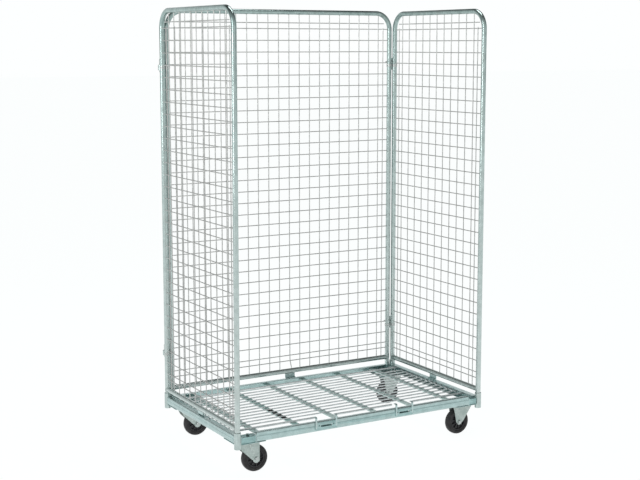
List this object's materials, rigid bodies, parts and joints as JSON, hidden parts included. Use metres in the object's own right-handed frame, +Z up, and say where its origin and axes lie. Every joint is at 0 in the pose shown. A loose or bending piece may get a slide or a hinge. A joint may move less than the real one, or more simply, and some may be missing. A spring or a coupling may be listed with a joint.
{
  "type": "roll cage container",
  "caption": "Mobile roll cage: castor platform with a wire deck and three lift-out mesh panels in bent tube frames, open along one long side.",
  "frame": {"origin": "centre of the footprint, on the floor under the wheels", "axes": "+Z up, +X to the right along the open front, +Y from the open front to the rear panel"},
  "size_m": [1.172, 0.708, 1.8036],
  "materials": {
    "tube": "bright zinc plated tube",
    "wire": "zinc plated drawn wire, slightly dull",
    "sheet": "bright zinc plated pressed sheet",
    "castor_steel": "zinc plated, warm grey",
    "bolt": "zinc plated",
    "tyre": "matt dark rubber",
    "hub": "matt dark plastic",
    "pad": "matt black rubber"
  },
  "bodies": {
    "platform": {"front_rail": "sheet", "rear_rail": "sheet", "left_rail": "sheet", "right_rail": "sheet", "cross_bar_1": "sheet", "cross_bar_2": "sheet", "cross_bar_3": "sheet", "cross_bar_4": "sheet", "cross_bar_5": "sheet", "cross_bar_6": "sheet", "bar_pad": "pad", "deck_rods": "wire", "front_edge_rod_left": "wire", "front_edge_rod_middle": "wire", "front_edge_rod_right": "wire", "rear_edge_rod": "wire", "slot_bracket_left": "sheet", "slot_bracket_right": "sheet", "socket_front_left": "sheet", "corner_bracket_front_left": "sheet", "socket_front_right": "sheet", "corner_bracket_front_right": "sheet", "socket_rear_left": "sheet", "corner_bracket_rear_left": "sheet", "socket_rear_right": "sheet", "corner_bracket_rear_right": "sheet", "swivel_plate_front_left": "castor_steel", "swivel_plate_rear_left": "castor_steel", "fixed_fork_front_right": "castor_steel", "fixed_fork_rear_right": "castor_steel", "axle_front_right": "bolt", "axle_rear_right": "bolt"},
    "swivel_front_left": {"swivel_race_front_left": "castor_steel", "swivel_fork_front_left": "castor_steel", "axle_front_left": "bolt"},
    "swivel_rear_left": {"swivel_race_rear_left": "castor_steel", "swivel_fork_rear_left": "castor_steel", "axle_rear_left": "bolt"},
    "wheel_front_left": {"hub_front_left": "hub", "tyre_front_left": "tyre"},
    "wheel_front_right": {"hub_front_right": "hub", "tyre_front_right": "tyre"},
    "wheel_rear_left": {"hub_rear_left": "hub", "tyre_rear_left": "tyre"},
    "wheel_rear_right": {"hub_rear_right": "hub", "tyre_rear_right": "tyre"},
    "left_panel": {"left_panel_frame": "tube", "left_panel_mesh": "wire", "left_panel_tab": "sheet"},
    "right_panel": {"right_panel_frame": "tube", "right_panel_mesh": "wire", "right_panel_tab": "sheet"},
    "rear_panel": {"rear_panel_frame": "tube", "rear_panel_mesh": "wire", "rear_panel_tab": "sheet", "hook_pin_upper_left": "bolt", "hook_pin_upper_right": "bolt", "hook_pin_lower_left": "bolt", "hook_pin_lower_right": "bolt"}
  },
  "joints": [
    {"name": "castor_swivel_front_left", "type": "hinge", "parent": "platform", "child": "swivel_front_left", "pos_m": [-0.507, -0.28097, 0.12], "axis": [0, 0, 1], "continuous": true},
    {"name": "castor_swivel_rear_left", "type": "hinge", "parent": "platform", "child": "swivel_rear_left", "pos_m": [-0.507, 0.26303, 0.12], "axis": [0, 0, 1], "continuous": true},
    {"name": "wheel_spin_front_left", "type": "hinge", "parent": "swivel_front_left", "child": "wheel_front_left", "pos_m": [-0.471, -0.28097, 0.054], "axis": [0, 1, 0], "continuous": true},
    {"name": "wheel_spin_rear_left", "type": "hinge", "parent": "swivel_rear_left", "child": "wheel_rear_left", "pos_m": [-0.471, 0.26303, 0.054], "axis": [0, 1, 0], "continuous": true},
    {"name": "wheel_spin_front_right", "type": "hinge", "parent": "platform", "child": "wheel_front_right", "pos_m": [0.505, -0.28097, 0.054], "axis": [0, 1, 0], "continuous": true},
    {"name": "wheel_spin_rear_right", "type": "hinge", "parent": "platform", "child": "wheel_rear_right", "pos_m": [0.505, 0.26303, 0.054], "axis": [0, 1, 0], "continuous": true},
    {"name": "left_panel_lift", "type": "slide", "parent": "platform", "child": "left_panel", "axis": [0, 0, 1], "range_m": [0, 0.065]},
    {"name": "right_panel_lift", "type": "slide", "parent": "platform", "child": "right_panel", "axis": [0, 0, 1], "range_m": [0, 0.065]},
    {"name": "rear_panel_lift", "type": "slide", "parent": "left_panel", "child": "rear_panel", "axis": [0, 0, 1], "range_m": [0, 0.04]}
  ],
  "couplings": [
    {"joint": "right_panel_lift", "follows": "left_panel_lift", "ratio": 1}
  ]
}
